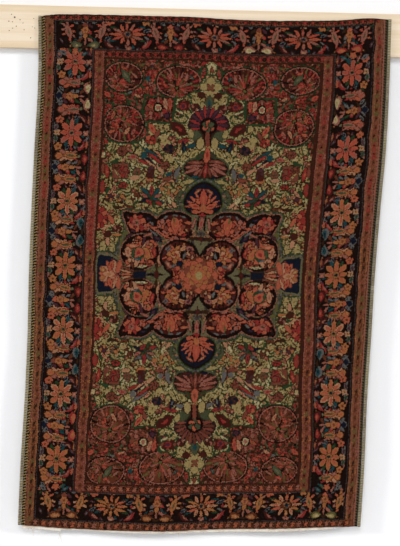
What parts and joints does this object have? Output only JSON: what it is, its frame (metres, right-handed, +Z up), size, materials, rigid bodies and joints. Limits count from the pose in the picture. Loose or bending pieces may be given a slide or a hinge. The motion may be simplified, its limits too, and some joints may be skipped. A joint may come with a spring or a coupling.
{
  "type": "persian rug hung on a wooden rail",
  "caption": "Hand-knotted medallion rug with flower borders, overcast sides and a worn cotton end, hanging from a pine rail.",
  "frame": {"origin": "centre of the wooden rail's back face, where it lies on the wall; in front view it is the middle of the rug's top edge", "axes": "+Y points into the wall, so the rug faces -Y; +X is to the right seen from the front; +Z is up"},
  "size_m": [1.8, 0.0373, 1.9914],
  "materials": {
    "wool_pile": "short knotted wool pile, matt with a soft sheen",
    "selvedge_wool": "olive wool, overcast, matt",
    "cream_cotton": "flat-woven undyed cotton, matt",
    "pale_pine": "planed pale pine, unvarnished"
  },
  "bodies": {
    "root": {"rug_pile": "wool_pile", "selvedge_left": "selvedge_wool", "selvedge_right": "selvedge_wool", "kilim_end": "cream_cotton", "rail": "pale_pine"}
  },
  "joints": []
}
